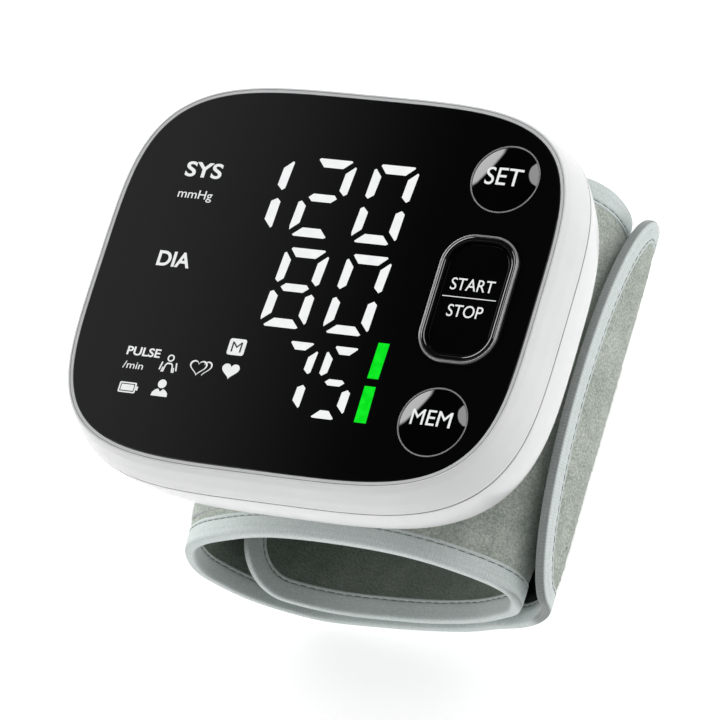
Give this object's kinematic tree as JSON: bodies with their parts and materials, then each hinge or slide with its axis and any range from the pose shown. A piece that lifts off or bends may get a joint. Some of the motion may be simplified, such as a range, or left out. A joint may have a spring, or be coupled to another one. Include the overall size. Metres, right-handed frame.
{
  "type": "wrist blood pressure monitor",
  "caption": "Wrist blood pressure monitor with lit figures in a black panel, three keys and a preformed fabric cuff that closes on itself.",
  "frame": {"origin": "middle of the object's box, on the surface that the closed cuff rests on", "axes": "+X to the display's right, +Y to the display's top, +Z out of the display; the wrist passes through along Y"},
  "size_m": [0.0866, 0.0742, 0.0676],
  "materials": {
    "window_black": "polished black panel",
    "lit_white": "lit white segments",
    "lit_green": "lit green bars",
    "foam_black": "adhesive foam",
    "trim_grey": "satin light grey",
    "shell_white": "satin white moulding",
    "steel": "bare steel",
    "key_black": "polished black key",
    "ring_metal": "bright ring",
    "bezel_metal": "bright bevelled frame",
    "board_green": "solder mask",
    "led_white": "white reflector moulding",
    "diffuser_film": "diffusing film",
    "component_black": "moulded black",
    "silicone": "translucent silicone",
    "white_plastic": "plain white moulding",
    "cell_wrap": "wrapped cell",
    "cuff_fabric": "sage grey brushed loop fabric",
    "binding_tape": "pale grey woven tape",
    "hook_black": "hook tape",
    "stiffener_plastic": "preformed sheet",
    "bladder_film": "welded film"
  },
  "bodies": {
    "housing": {"display_window": "window_black", "digit_segments": "lit_white", "pulse_bars": "lit_green", "window_tape": "foam_black", "trim_ring": "trim_grey", "front_shell": "shell_white", "rear_shell": "shell_white", "housing_screws": "steel", "button_rings": "ring_metal", "start_bezel": "bezel_metal", "main_board": "board_green", "led_module": "led_white", "display_diffuser": "diffuser_film", "tact_switches": "component_black", "board_components": "component_black", "pressure_sensor": "component_black", "air_pump": "steel", "air_valve": "component_black", "air_manifold": "silicone", "air_port": "white_plastic", "battery_cells": "cell_wrap", "battery_contacts": "steel", "cuff_plate": "white_plastic", "plate_screws": "steel", "cuff_cover": "cuff_fabric", "cuff_lining": "cuff_fabric", "cuff_stiffener": "stiffener_plastic", "air_bladder": "bladder_film", "cuff_front_binding": "binding_tape"},
    "set_key": {"set_button": "key_black"},
    "mem_key": {"mem_button": "key_black"},
    "start_key": {"start_stop_button": "key_black"},
    "door": {"battery_door": "shell_white"},
    "tail": {"cuff_tail": "cuff_fabric", "cuff_tail_binding": "binding_tape", "hook_patch": "hook_black"},
    "flap": {"cuff_flap": "cuff_fabric", "cuff_flap_binding": "binding_tape"}
  },
  "joints": [
    {"name": "set_press", "type": "slide", "parent": "housing", "child": "set_key", "axis": [0, 0, -1], "range_m": [0, 0.0004], "stiffness_N_per_m": 1500, "springref_m": -0.0003},
    {"name": "mem_press", "type": "slide", "parent": "housing", "child": "mem_key", "axis": [0, 0, -1], "range_m": [0, 0.0004], "stiffness_N_per_m": 1500, "springref_m": -0.0003},
    {"name": "start_press", "type": "slide", "parent": "housing", "child": "start_key", "axis": [0, 0, -1], "range_m": [0, 0.0004], "stiffness_N_per_m": 1800, "springref_m": -0.0003},
    {"name": "door_slide", "type": "slide", "parent": "housing", "child": "door", "axis": [-1, 0, 0], "range_m": [0, 0.012]},
    {"name": "tail_open", "type": "hinge", "parent": "housing", "child": "tail", "pos_m": [-0.0337, 0, 0.0232], "axis": [0, 1, 0], "range_deg": [0, 85]},
    {"name": "flap_lift", "type": "hinge", "parent": "housing", "child": "flap", "pos_m": [0.0312, 0, 0.0247], "axis": [0, 1, 0], "range_deg": [0, 11]}
  ]
}
